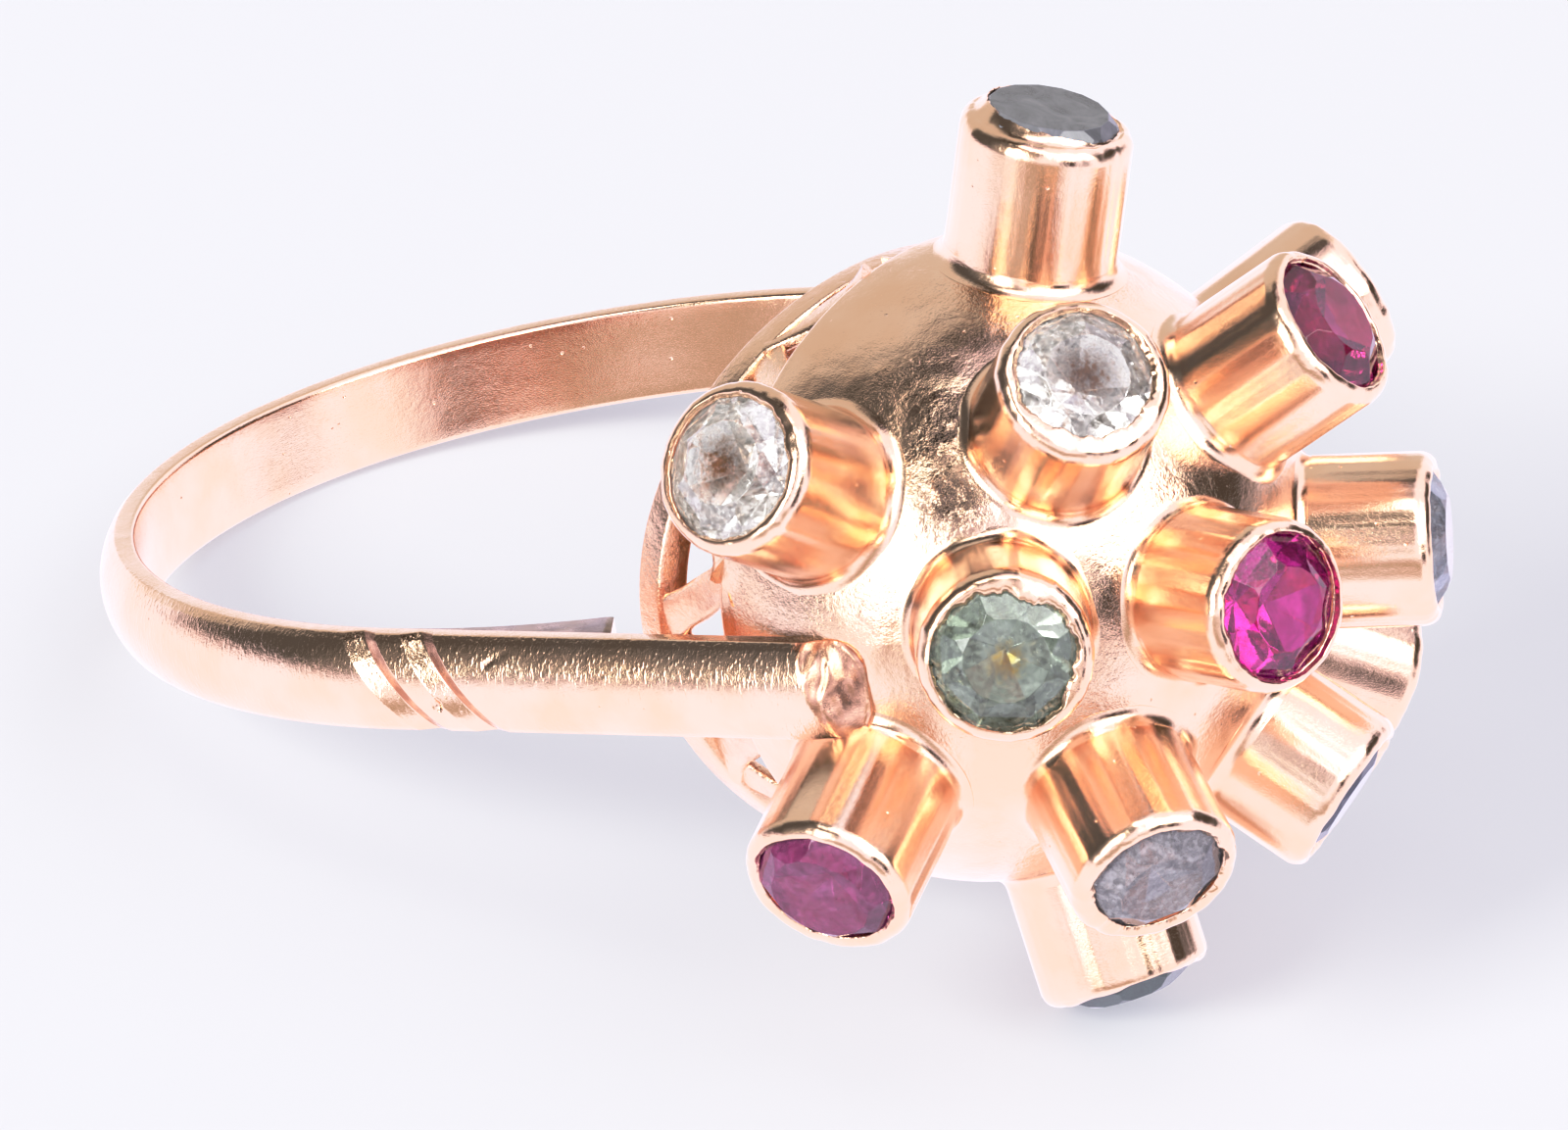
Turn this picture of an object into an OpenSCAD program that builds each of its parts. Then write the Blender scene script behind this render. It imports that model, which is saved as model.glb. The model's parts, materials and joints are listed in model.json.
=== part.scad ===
// Gold dress ring: round stones in tube collets stand out of a domed head like pins in a cushion.
// It is modelled lying on its side, as it comes to rest by itself, with the floor at z = 0.
// The sub-parts are drawn in the ring's own frame: X runs from the finger hole to the head,
// Z is the finger's axis, and the head's centre is on X. at_rest() then lays the whole ring down.

/* [Shank] */
// Radius of the finger hole round its back and sides
finger_r = 9.15; // [8.9:0.05:9.4]
// Width of the band along the finger
band_w = 1.75; // [1.5:0.05:2.1]
// Thickness of the band at its two edges
edge_t = 0.4; // [0.36:0.02:0.5]
// Rise of the band's domed outside above its edges
crown_rise = 0.34; // [0.28:0.02:0.5]
// Distance of the band's middle plane below the head's centre
band_drop = 0.43; // [0.2:0.01:0.6]
// Turn from the head's axis at which a shoulder leaves the round part
shoulder_turn = 67.3; // [66:0.1:68]
// Length of each straight shoulder up to its soldered tip
shoulder_l = 9.1; // [8.8:0.1:9.3]
// Turn from the head's axis at which the finger wall ends in a step
step_turn = 42; // [40:1:46]

/* [Engraved notches] */
// Places of the notches along a shoulder, from its start
notch_places = [0.08, 1.22];
// Lean of a notch across the band
notch_lean = -36; // [-50:1:-20]
// Depth of a notch
notch_depth = 0.2; // [0.1:0.02:0.26]

/* [Dome] */
// Distance from the finger hole's centre to the dome's centre
dome_x = 9.4; // [9.3:0.05:9.5]
// Outer radius of the dome
dome_r = 5.65; // [5.6:0.05:5.7]
// Thickness of the dome's shell
dome_t = 0.28; // [0.24:0.02:0.34]
// Length of the dome's wall past its centre, towards the finger
dome_skirt = 0.45; // [0.3:0.05:0.6]

/* [Gallery] */
// Distance from the finger hole's centre to the gallery strip's finger side
gallery_x = 7.4; // [7.2:0.05:7.6]
// Outer radius of the gallery strip
gallery_r = 5.35; // [5.2:0.05:5.5]
// Thickness and height of the gallery strip
strip_t = 0.5; // [0.4:0.05:0.6]
strip_h = 0.6; // [0.5:0.05:0.7]
// Radius of the curve that the strip takes round the finger
strip_curve_r = 13.5; // [12:0.5:16]
// Distance of the strip's centre below the head's centre
gallery_drop = 0.2; // [0:0.05:0.3]
// Number of V struts between the strip and the dome
strut_vs = 12; // [10:1:14]
// Radius of a strut
strut_r = 0.18; // [0.14:0.02:0.18]
// Depth of the struts' middle lines below the strip's outside
strut_inset = 0.27; // [0.26:0.01:0.28]

/* [Collets] */
// Outer radius of a collet
collet_r = 1.5; // [1.45:0.01:1.52]
// Radius of a collet's bore under its stone
collet_bore_r = 1.25; // [1.15:0.01:1.26]
// Radius that rounds the bezel's outer edge
bezel_round = 0.2; // [0.12:0.02:0.24]
// Radius of the opening in the bezel
bezel_open_r = 1.24; // [1.2:0.01:1.26]

/* [Stones] */
// Radius of a stone at its girdle
stone_r = 1.32; // [1.28:0.01:1.33]
// Radius of a stone's table
table_r = 0.78; // [0.7:0.02:0.85]
// Thickness of the girdle
girdle_t = 0.06; // [0.04:0.01:0.08]
// Depth of the pavilion, from the girdle to the point
pavilion_h = 1.02; // [0.9:0.02:1.1]
// Clearance between a stone and its setting
stone_gap = 0.03; // [0.02:0.005:0.04]
// Depth of the girdle below the collet's rim
girdle_depth = 0.24; // [0.22:0.01:0.28]

/* [Rest] */
// Roll about the head's axis at which the ring balances on its lowest collet
rest_roll = 1.5; // [-6:0.5:8]

/* [Hidden] */
$fn = 96;

// Stones and their collets: name, lean from the head's axis, turn about it from the ring's upper side
// towards its near side, distance of the rim from the dome's centre, crown height, colour
NAME = 0;
LEAN = 1;
TURN = 2;
RIM = 3;
CROWN = 4;
COLOUR = 5;
STONES = [
    ["stone_centre", 1.5, 0, 7.7, 0.44, "deeppink"],
    ["stone_inner_1", 40.5, 24.5, 7.95, 0.42, "whitesmoke"],
    ["stone_inner_2", 38, 83, 7.85, 0.42, "darkseagreen"],
    ["stone_inner_3", 37.5, 151, 7.9, 0.42, "slategray"],
    ["stone_inner_4", 47.5, 213, 7.5, 0.28, "midnightblue"],
    ["stone_inner_5", 44, 264, 7.75, 0.44, "lightsteelblue"],
    ["stone_inner_6", 41, 320, 8, 0.46, "crimson"],
    ["stone_outer_1", 76.5, -8.5, 8.1, 0.42, "darkslategray"],
    ["stone_outer_2", 75, 59.5, 8.25, 0.48, "whitesmoke"],
    ["stone_outer_3", 70, 117.5, 8.1, 0.4, "mediumvioletred"],
    ["stone_outer_4", 76, 181, 7.9, 0.4, "darkgreen"],
    ["stone_outer_5", 75, 238.5, 8, 0.42, "royalblue"],
    ["stone_outer_6", 80.5, 290, 8.15, 0.42, "forestgreen"]
];
LOWEST = [for (s = STONES) if (s[NAME] == "stone_outer_4") s][0];

gold = [0.87, 0.62, 0.42];
overlap = 0.1;
far = 40;

// The band's section: its outside is an arc through both edges and the crown
crown_r = (band_w * band_w / 4 + crown_rise * crown_rise) / (2 * crown_rise);
crown_centre = finger_r + edge_t + crown_rise - crown_r;
crown_half_turn = asin(band_w / 2 / crown_r);

// Directions and reach, which find how the ring lies
function stone_axis(s) = [cos(s[LEAN]), -sin(s[LEAN]) * sin(s[TURN]), sin(s[LEAN]) * cos(s[TURN])];
function disc_reach(centre, axis, r, v) = centre * v + r * norm(v - (v * axis) * axis);
function collet_point(s, out) = [dome_x, 0, 0] + out * stone_axis(s);
function rim_reach(s, v) =
    disc_reach(collet_point(s, s[RIM] - bezel_round), stone_axis(s), collet_r - bezel_round, v)
    + bezel_round;
function table_reach(s, v) =
    disc_reach(collet_point(s, s[RIM] - girdle_depth + s[CROWN]), stone_axis(s), table_r, v);
function band_reach(v) =
    let (out = norm([v.x, v.y]), on_crown = atan2(abs(v.z), out) < crown_half_turn)
    (on_crown ? crown_centre * out + crown_r : (finger_r + edge_t) * out + band_w / 2 * abs(v.z))
    - band_drop * v.z;
function reach(v) = max([band_reach(v), for (s = STONES) max(rim_reach(s, v), table_reach(s, v))]);

// World directions seen from the ring, for a pitch that lifts the head
function world_x(pitch) = [cos(pitch), -sin(pitch) * sin(rest_roll), -sin(pitch) * cos(rest_roll)];
function world_y() = [0, cos(rest_roll), -sin(rest_roll)];
function world_z(pitch) = [sin(pitch), cos(pitch) * sin(rest_roll), cos(pitch) * cos(rest_roll)];

// The pitch at which the back of the band and the lowest collet touch the floor together
function band_is_lower(pitch) = band_reach(-world_z(pitch)) > rim_reach(LOWEST, -world_z(pitch));
function find_pitch(low, high, steps) =
    let (mid = (low + high) / 2)
    steps == 0 ? mid
        : band_is_lower(mid) ? find_pitch(low, mid, steps - 1)
        : find_pitch(mid, high, steps - 1);
rest_pitch = find_pitch(5, 40, 24);
middle_x = (reach(world_x(rest_pitch)) - reach(-world_x(rest_pitch))) / 2;
middle_y = (reach(world_y()) - reach(-world_y())) / 2;
floor_depth = reach(-world_z(rest_pitch));

module at_rest() {
    translate([-middle_x, -middle_y, floor_depth])
        rotate([rest_roll, -rest_pitch, 0])
            children();
}

// Section of the band, with the finger side at finger_r
module band_section() {
    intersection() {
        translate([finger_r, -band_w / 2])
            square([edge_t + crown_rise + overlap, band_w]);
        translate([crown_centre, 0])
            circle(r = crown_r);
    }
}

module band_arc() {
    rotate([0, 0, shoulder_turn])
        rotate_extrude(angle = 360 - 2 * shoulder_turn, $fn = 180)
            band_section();
}

// Outline of a shoulder seen from outside, its tip filed away at both edges
module shoulder_outline() {
    filed_top = 1.35;
    filed_bottom = 0.85;
    blunt_h = 0.65;
    tip = shoulder_l - overlap;
    polygon([
        [-overlap, -band_w], [shoulder_l - filed_bottom, -band_w],
        [shoulder_l - filed_bottom, -band_w / 2], [tip, -blunt_h / 2],
        [tip, blunt_h / 2], [shoulder_l - filed_top, band_w / 2],
        [shoulder_l - filed_top, band_w], [-overlap, band_w]
    ]);
}

// A shoulder runs along +X from the band's end, its finger side at y = finger_r
module shoulder() {
    intersection() {
        rotate([90, 0, 90])
            linear_extrude(height = shoulder_l)
                band_section();
        translate([0, finger_r - overlap, 0])
            rotate([90, 0, 0])
                mirror([0, 0, 1])
                    linear_extrude(height = 2 * (edge_t + crown_rise))
                        shoulder_outline();
    }
}

// Solder that fills the wedge between a shoulder's tip and the dome
module shoulder_solder() {
    pad_l = 2.6;
    pad_h = 1.1;
    pad_depth = 0.3;
    pad_end = shoulder_l - 0.4;
    translate([pad_end - pad_l, finger_r - pad_depth, -pad_h / 2])
        cube([pad_l, pad_depth + overlap, pad_h]);
}

// The thick finger wall beside each shoulder, which ends in a step
module finger_wall() {
    lap = edge_t / 2;
    start_out = finger_r + lap;
    wall_out = start_out / cos(shoulder_turn - step_turn);
    linear_extrude(height = band_w, center = true)
        difference() {
            polygon([
                [0, 0],
                wall_out * [cos(step_turn), sin(step_turn)],
                start_out * [cos(shoulder_turn), sin(shoulder_turn)]
            ]);
            circle(r = finger_r, $fn = 180);
        }
}

// A V groove that follows the domed outside of the band
module notch() {
    ring_r = crown_r / pow(cos(notch_lean), 2);
    translate([0, crown_centre + crown_r - ring_r, 0])
        rotate([0, notch_lean, 0])
            rotate([0, 90, 0])
                rotate_extrude()
                    translate([ring_r, 0])
                        rotate(45)
                            square(notch_depth * sqrt(2), center = true);
}

module shank_side() {
    rotate([0, 0, shoulder_turn - 90]) {
        shoulder();
        shoulder_solder();
    }
    finger_wall();
}

module shank_side_notches() {
    rotate([0, 0, shoulder_turn - 90])
        for (place = notch_places)
            translate([place, 0, 0])
                notch();
}

module both_sides() {
    children();
    mirror([0, 1, 0])
        children();
}

module shank() {
    translate([0, 0, -band_drop])
        difference() {
            union() {
                band_arc();
                both_sides()
                    shank_side();
            }
            both_sides()
                shank_side_notches();
        }
}

// A sphere round the dome's centre, its poles on X and its seam well inside one collet's foot
module head_sphere(r) {
    seam_turn = 83;
    translate([dome_x, 0, 0])
        rotate([seam_turn, -90, 0])
            sphere(r = r);
}

module dome_body() {
    intersection() {
        head_sphere(dome_r);
        translate([dome_x - dome_skirt, -far / 2, -far / 2])
            cube([far, far, far]);
    }
}

// Turns a shape drawn along +Z from the dome's centre into a stone's direction
module toward(s) {
    translate([dome_x, 0, 0])
        rotate([s[TURN], 0, 0])
            rotate([0, 90 - s[LEAN], 0])
                children();
}

module collet_body(s) {
    sunk = 0.05;
    foot = sqrt(pow(dome_r, 2) - pow(collet_r, 2)) - sunk;
    toward(s)
        rotate_extrude() {
            translate([0, foot])
                square([collet_r, s[RIM] - bezel_round - foot]);
            translate([0, foot])
                square([collet_r - bezel_round, s[RIM] - foot]);
            translate([collet_r - bezel_round, s[RIM] - bezel_round])
                circle(r = bezel_round, $fn = 32);
        }
}

// The stone's seat, the opening in the bezel, and the bore, which goes on through the dome's shell
module collet_hollow(s) {
    bore_foot = dome_r - 2 * dome_t;
    girdle_top = s[RIM] - girdle_depth;
    seat_r = stone_r + stone_gap;
    seat_top = girdle_top + stone_gap;
    seat_foot = girdle_top - girdle_t - stone_gap;
    seat_slope = pavilion_h / stone_r;
    toward(s)
        rotate_extrude()
            polygon([
                [0, bore_foot], [collet_bore_r, bore_foot],
                [collet_bore_r, seat_foot - (seat_r - collet_bore_r) * seat_slope],
                [seat_r, seat_foot], [seat_r, seat_top],
                [bezel_open_r, seat_top + seat_r - bezel_open_r],
                [bezel_open_r, s[RIM] + overlap], [0, s[RIM] + overlap]
            ]);
}

module gallery_strip() {
    translate([0, 0, -gallery_drop])
        intersection() {
            rotate([0, 90, 0])
                difference() {
                    cylinder(r = gallery_r, h = far);
                    translate([0, 0, -overlap])
                        cylinder(r = gallery_r - strip_t, h = far + 2 * overlap);
                }
            translate([gallery_x - strip_curve_r, 0, 0])
                difference() {
                    cylinder(r = strip_curve_r + strip_h, h = far, center = true, $fn = 180);
                    cylinder(r = strip_curve_r, h = far + overlap, center = true, $fn = 180);
                }
        }
}

module rod(from, to, r) {
    run = to - from;
    translate(from)
        rotate([0, acos(run.z / norm(run)), atan2(run.y, run.x)])
            cylinder(r = r, h = norm(run), $fn = 24);
}

// A point on the gallery strip and one in the dome's wall, at a turn about the head's axis
function strip_point(turn) =
    let (
        r = gallery_r - strut_inset,
        y = r * cos(turn),
        finger_side = gallery_x - strip_curve_r + sqrt(pow(strip_curve_r, 2) - y * y)
    )
    [finger_side + strip_h / 2, y, r * sin(turn) - gallery_drop];
function dome_edge_point(turn) =
    let (r = dome_r - dome_t)
    [dome_x - dome_skirt + strut_r, r * cos(turn), r * sin(turn)];

// Each pair of struts leans together at the dome's edge, and neighbours' feet meet on the strip
module gallery_struts() {
    step = 360 / strut_vs;
    aside = 0.05 * step;
    for (i = [0 : strut_vs - 1]) {
        foot = i * step + aside;
        next_foot = (i + 1) * step - aside;
        meet = (i + 0.5) * step;
        rod(strip_point(foot), dome_edge_point(meet - aside), strut_r);
        rod(strip_point(next_foot), dome_edge_point(meet + aside), strut_r);
    }
}

// All the metal is soldered into one piece
module ring_mount() {
    color(gold)
        at_rest()
            union() {
                difference() {
                    union() {
                        dome_body();
                        shank();
                        for (s = STONES)
                            collet_body(s);
                    }
                    head_sphere(dome_r - dome_t);
                    for (s = STONES)
                        collet_hollow(s);
                }
                gallery_strip();
                gallery_struts();
            }
}

// Corners of a round cut stone, ring by ring from the table to the point, and its facets
function ring_points(count, r, z, turn) =
    [for (i = [0 : count - 1]) [r * cos(360 / count * i + turn), r * sin(360 / count * i + turn), z]];

module cut_stone(crown_h) {
    mains = 8;
    half = 180 / mains;
    star_share = 0.45;
    lower_share = 0.24;
    star_r = table_r + star_share * (stone_r - table_r);
    star_z = crown_h * (stone_r - star_r * cos(half)) / (stone_r - table_r);
    lower_r = lower_share * stone_r;
    lower_z = -girdle_t - pavilion_h * (stone_r - lower_r * cos(half)) / stone_r;
    table = 0;
    star = mains;
    girdle = 2 * mains;
    under = 4 * mains;
    lower = 6 * mains;
    point = 7 * mains;
    polyhedron(
        points = concat(
            ring_points(mains, table_r, crown_h, 0),
            ring_points(mains, star_r, star_z, half),
            ring_points(2 * mains, stone_r, 0, 0),
            ring_points(2 * mains, stone_r, -girdle_t, 0),
            ring_points(mains, lower_r, lower_z, half),
            [[0, 0, -girdle_t - pavilion_h]]
        ),
        faces = concat(
            [[for (i = [mains - 1 : -1 : 0]) table + i]],
            [for (i = [0 : mains - 1])
                let (
                    n = (i + 1) % mains,
                    p = (i + mains - 1) % mains,
                    g = 2 * i,
                    h = g + 1,
                    k = 2 * n
                )
                each [
                    [table + i, table + n, star + i],
                    [table + i, star + i, girdle + g],
                    [table + i, girdle + g, star + p],
                    [star + i, girdle + h, girdle + g],
                    [star + i, girdle + k, girdle + h],
                    [girdle + g, girdle + h, under + h, under + g],
                    [girdle + h, girdle + k, under + k, under + h],
                    [under + g, under + h, lower + i],
                    [under + h, under + k, lower + i],
                    [under + g, lower + i, point],
                    [under + g, point, lower + p]
                ]]
        )
    );
}

module stone(s) {
    color(s[COLOUR])
        at_rest()
            toward(s)
                translate([0, 0, s[RIM] - girdle_depth])
                    cut_stone(s[CROWN]);
}

ring_mount();
for (s = STONES) stone(s);
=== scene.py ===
"""The dressed look of a gold cluster ring that lies on its side.

The metal is built in the ring's own frame, in millimetres: X runs from the finger hole's centre to the
domed head, Z is the finger's axis, and the near side is -Y. RING then lays it down as the frame says.
"""

import json
import math
import random

import bmesh
import bpy
from mathutils import Matrix, Vector, noise


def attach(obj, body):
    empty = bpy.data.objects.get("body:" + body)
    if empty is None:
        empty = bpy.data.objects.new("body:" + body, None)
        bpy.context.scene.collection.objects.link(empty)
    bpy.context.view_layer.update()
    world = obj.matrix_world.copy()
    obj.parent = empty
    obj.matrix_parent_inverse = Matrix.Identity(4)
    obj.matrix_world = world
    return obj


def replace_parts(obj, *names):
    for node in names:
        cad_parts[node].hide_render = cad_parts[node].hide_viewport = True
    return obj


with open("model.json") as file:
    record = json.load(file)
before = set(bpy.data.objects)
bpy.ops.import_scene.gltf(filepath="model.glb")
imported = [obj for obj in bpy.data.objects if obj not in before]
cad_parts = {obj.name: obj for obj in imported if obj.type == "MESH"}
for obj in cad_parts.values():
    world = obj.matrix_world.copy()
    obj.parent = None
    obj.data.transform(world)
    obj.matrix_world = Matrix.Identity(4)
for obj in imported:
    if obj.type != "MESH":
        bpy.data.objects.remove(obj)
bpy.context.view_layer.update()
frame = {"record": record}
scene = bpy.context.scene
MM = 0.001
TAU = 2 * math.pi

# Driving sizes in millimetres: the solids' own, but for small changes at the notches, tips and bezels.
# First the shank
FINGER_R = 9.15
BAND_W = 1.75
EDGE_T = 0.4
CROWN_RISE = 0.34
BAND_DROP = 0.43
SHOULDER_TURN = math.radians(67.3)
SHOULDER_L = 9.12
BEVEL_DROP = 0.64
STEP_TURN = math.radians(42)
NOTCH_PLACES = (0.08, 1.22)
NOTCH_LEAN = math.radians(35)
NOTCH_DEPTH = 0.14
NOTCH_SLOPE_IN = 0.4
NOTCH_SLOPE_OUT = 0.46
# the head, its gallery strip and the ribbons between them
DOME_X = 9.4
DOME_R = 5.65
DOME_T = 0.28
DOME_SKIRT = 0.45
GALLERY_X = 7.4
GALLERY_R = 5.35
STRIP_T = 0.5
STRIP_H = 0.6
STRIP_CURVE_R = 13.5
GALLERY_DROP = 0.2
STRUT_VS = 12
STRUT_R = 0.18
RIBBON_W = 0.72
RIBBON_T = 0.3
# the collets: depths are taken from the rim
COLLET_R = 1.5
COLLET_BORE_R = 1.25
BORE_TOP_DEPTH = 0.62
SEAT_DEPTH = 0.45
SEAT_PLAY = 0.02
BEZEL_ROUND_W = 0.23
BEZEL_ROUND_H = 0.3
LIP_R = 1.15
LIP_LIFT = 0.04
# the stones
STONE_R = 1.32
TABLE_R = 0.78
GIRDLE_T = 0.06
PAVILION_H = 1.02
GIRDLE_DEPTH = 0.24

# name, lean from the head's axis, turn about it, rim's distance from the dome's centre, crown height
STONES = [
    ("centre", 1.5, 0, 7.7, 0.44),
    ("inner_1", 40.5, 24.5, 7.95, 0.42),
    ("inner_2", 38, 83, 7.85, 0.42),
    ("inner_3", 37.5, 151, 7.9, 0.42),
    ("inner_4", 47.5, 213, 7.5, 0.28),
    ("inner_5", 44, 264, 7.75, 0.44),
    ("inner_6", 41, 320, 8, 0.46),
    ("outer_1", 76.5, -8.5, 8.1, 0.42),
    ("outer_2", 75, 59.5, 8.25, 0.48),
    ("outer_3", 70, 117.5, 8.1, 0.4),
    ("outer_4", 76, 181, 7.9, 0.4),
    ("outer_5", 75, 238.5, 8, 0.42),
    ("outer_6", 80.5, 290, 8.15, 0.42),
]


def ring_frame():
    """The ring's frame in the world, from the finger hole's mount."""
    hole = next(m for m in frame["record"]["mounts"] if m["name"] == "finger_hole")
    axis = Vector(hole["axis"])
    roll = math.asin(-axis.y)
    pitch = math.atan2(-axis.x, axis.z)
    turn = Matrix.Rotation(-pitch, 4, "Y") @ Matrix.Rotation(roll, 4, "X")
    return Matrix.Translation(Vector(hole["pos_m"]) + axis * BAND_DROP * MM) @ turn


RING = ring_frame()
RING_BACK = RING.to_3x3().inverted()


def closed_mesh(name, points, faces):
    """A mesh from points in millimetres in the ring's frame, with its normals outwards."""
    mesh = bpy.data.meshes.new(name)
    mesh.from_pydata([RING @ (Vector(p) * MM) for p in points], [], faces)
    mesh.validate()
    bm = bmesh.new()
    bm.from_mesh(mesh)
    bmesh.ops.recalc_face_normals(bm, faces=bm.faces)
    bm.to_mesh(mesh)
    bm.free()
    return mesh


def piece(name, points, faces, material, sharp=None):
    """A smooth mesh piece that rides on the ring; edges over sharp degrees stay sharp."""
    mesh = closed_mesh(name, points, faces)
    mesh.polygons.foreach_set("use_smooth", [True] * len(mesh.polygons))
    if sharp is not None:
        mesh.set_sharp_from_angle(angle=math.radians(sharp))
    mesh.materials.append(material)
    obj = bpy.data.objects.new(name, mesh)
    scene.collection.objects.link(obj)
    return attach(obj, "root")


def grid(rows, columns, close_rows=False, close_columns=False):
    """Quads over a grid of points that is stored row by row."""
    faces = []
    for i in range(rows if close_rows else rows - 1):
        for j in range(columns if close_columns else columns - 1):
            k, n = (i + 1) % rows, (j + 1) % columns
            faces.append((i * columns + j, i * columns + n, k * columns + n, k * columns + j))
    return faces


def end_caps(rows, columns):
    """The faces that close both ends of a tube made by grid."""
    last = (rows - 1) * columns
    return [tuple(range(columns)), tuple(last + j for j in reversed(range(columns)))]


def arc(centre, r, start, end, count):
    """Points of a flat arc, from start to end in degrees, both ends included."""
    angles = [math.radians(start + (end - start) * i / (count - 1)) for i in range(count)]
    return [(centre[0] + r * math.cos(a), centre[1] + r * math.sin(a)) for a in angles]


def ease(x, low, high):
    """0 below low, 1 above high, smooth between."""
    t = min(1, max(0, (x - low) / (high - low)))
    return t * t * (3 - 2 * t)


def wobble(x, y, z, seed=0.0):
    """Smooth noise from about -1 to 1."""
    return noise.noise(Vector((x + 17.3 * seed, y - 5.1 * seed, z + 9.7 * seed)))


# Node materials

class Tree:
    """A node tree, with short ways to add and join the nodes that this script uses."""

    def __init__(self, tree):
        self.nodes, self.links = tree.nodes, tree.links

    def feed(self, socket, value):
        """Links an output to the socket, or sets the socket to a plain value."""
        if isinstance(value, bpy.types.NodeSocket):
            self.links.new(value, socket)
        else:
            socket.default_value = value

    def add(self, kind, **inputs):
        """A new node with its inputs fed by name; an underscore stands for a space."""
        node = self.nodes.new("ShaderNode" + kind)
        for key, value in inputs.items():
            self.feed(node.inputs[key.replace("_", " ")], value)
        return node

    def math(self, operation, *values, kind="Math", output="Value"):
        """What a math node gives for these values, each an output or plain."""
        node = self.nodes.new("ShaderNode" + kind)
        node.operation = operation
        for socket, value in zip(node.inputs, values):
            self.feed(socket, value)
        return node.outputs[output]

    def vector_math(self, operation, *values, output="Vector"):
        """The same for a vector math node."""
        return self.math(operation, *values, kind="VectorMath", output=output)

    def spread(self, source, low, high, first, last):
        """Turns low to high in the source into first to last, and cuts off what lies beyond."""
        node = self.add("MapRange", Value=source, From_Min=low, From_Max=high, To_Min=first, To_Max=last)
        return node.outputs["Result"]

    def blend(self, factor, first, last):
        """A colour between first and last; each is an output or a plain (r, g, b)."""
        node = self.nodes.new("ShaderNodeMix")
        node.data_type = "RGBA"
        self.feed(node.inputs["Factor"], factor)
        for key, colour in (("A", first), ("B", last)):
            self.feed(node.inputs[key], (*colour, 1) if isinstance(colour, tuple) else colour)
        return node.outputs["Result"]

    def bump(self, source, height, before=None):
        """A normal that rises by height in millimetres where the source is 1."""
        node = self.add("Bump", Strength=1, Distance=height * MM, Height=source)
        if before is not None:
            self.links.new(before, node.inputs["Normal"])
        return node.outputs["Normal"]


def new_material(name):
    """A material, its tree and the inputs of its shader."""
    mat = bpy.data.materials.new(name)
    mat.use_nodes = True
    tree = Tree(mat.node_tree)
    return mat, tree, tree.nodes["Principled BSDF"].inputs


def ring_millimetres(tree):
    """The shading point in the ring's own frame, in millimetres."""
    mapping = tree.add(
        "Mapping", Vector=tree.add("TexCoord").outputs["Object"], Rotation=RING_BACK.to_euler(),
        Location=RING_BACK @ RING.translation * -1 / MM, Scale=(1 / MM, 1 / MM, 1 / MM),
    )
    return mapping.outputs["Vector"]


ROSE_GOLD = (0.95, 0.7, 0.53)
# the darker tint of speckled patches on the dome between the collets
DARK_PATCH_TINT = (0.1, 0.07, 0.055)


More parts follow.
